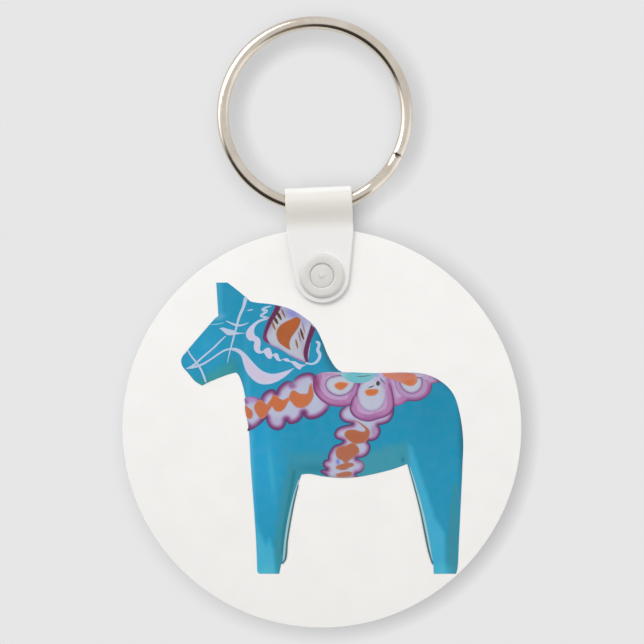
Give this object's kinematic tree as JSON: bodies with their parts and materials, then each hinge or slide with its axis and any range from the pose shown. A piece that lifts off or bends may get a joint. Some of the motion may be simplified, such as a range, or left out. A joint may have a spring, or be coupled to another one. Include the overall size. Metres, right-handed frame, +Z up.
{
  "type": "dala horse key ring",
  "caption": "Split key ring carrying a round white tag, printed with a painted folk horse, in a folded clear strap that swings on the ring and opens at its snap.",
  "frame": {"origin": "the inside top of the split ring, where a hook holds it", "axes": "+Z up along the hanging key ring, +X to the right seen from the printed side, +Y towards the back; the printed face looks along -Y"},
  "size_m": [0.0572, 0.0048, 0.0876],
  "materials": {
    "nickel_steel": "bright nickel plate",
    "strap_plastic": "frosted clear plastic",
    "snap_plastic": "clear plastic, lightly frosted",
    "board_core": "cut edge of a white composite board",
    "white_coat": "smooth gloss white",
    "horse_ink": "gloss print, turquoise with painted flowers"
  },
  "bodies": {
    "ring": {"split_ring": "nickel_steel"},
    "strap": {"strap_rear": "strap_plastic", "snap_stud": "snap_plastic"},
    "front_leaf": {"strap_front": "strap_plastic", "snap_socket": "snap_plastic"},
    "disc": {"disc_core": "board_core", "front_coat": "white_coat", "back_coat": "white_coat", "horse_print": "horse_ink"}
  },
  "joints": [
    {"name": "strap_swing", "type": "hinge", "parent": "ring", "child": "strap", "pos_m": [0.00056, 0, -0.02509], "axis": [0.999, 0, 0.0436], "range_deg": [-110, 110]},
    {"name": "snap_open", "type": "hinge", "parent": "strap", "child": "front_leaf", "pos_m": [0.00063, -0.0021, -0.02674], "axis": [-0.999, 0, -0.0436], "range_deg": [0, 70]},
    {"name": "disc_swivel", "type": "hinge", "parent": "strap", "child": "disc", "pos_m": [0.00101, 0, -0.03553], "axis": [0, 1, 0], "range_deg": [-24, 20]}
  ]
}
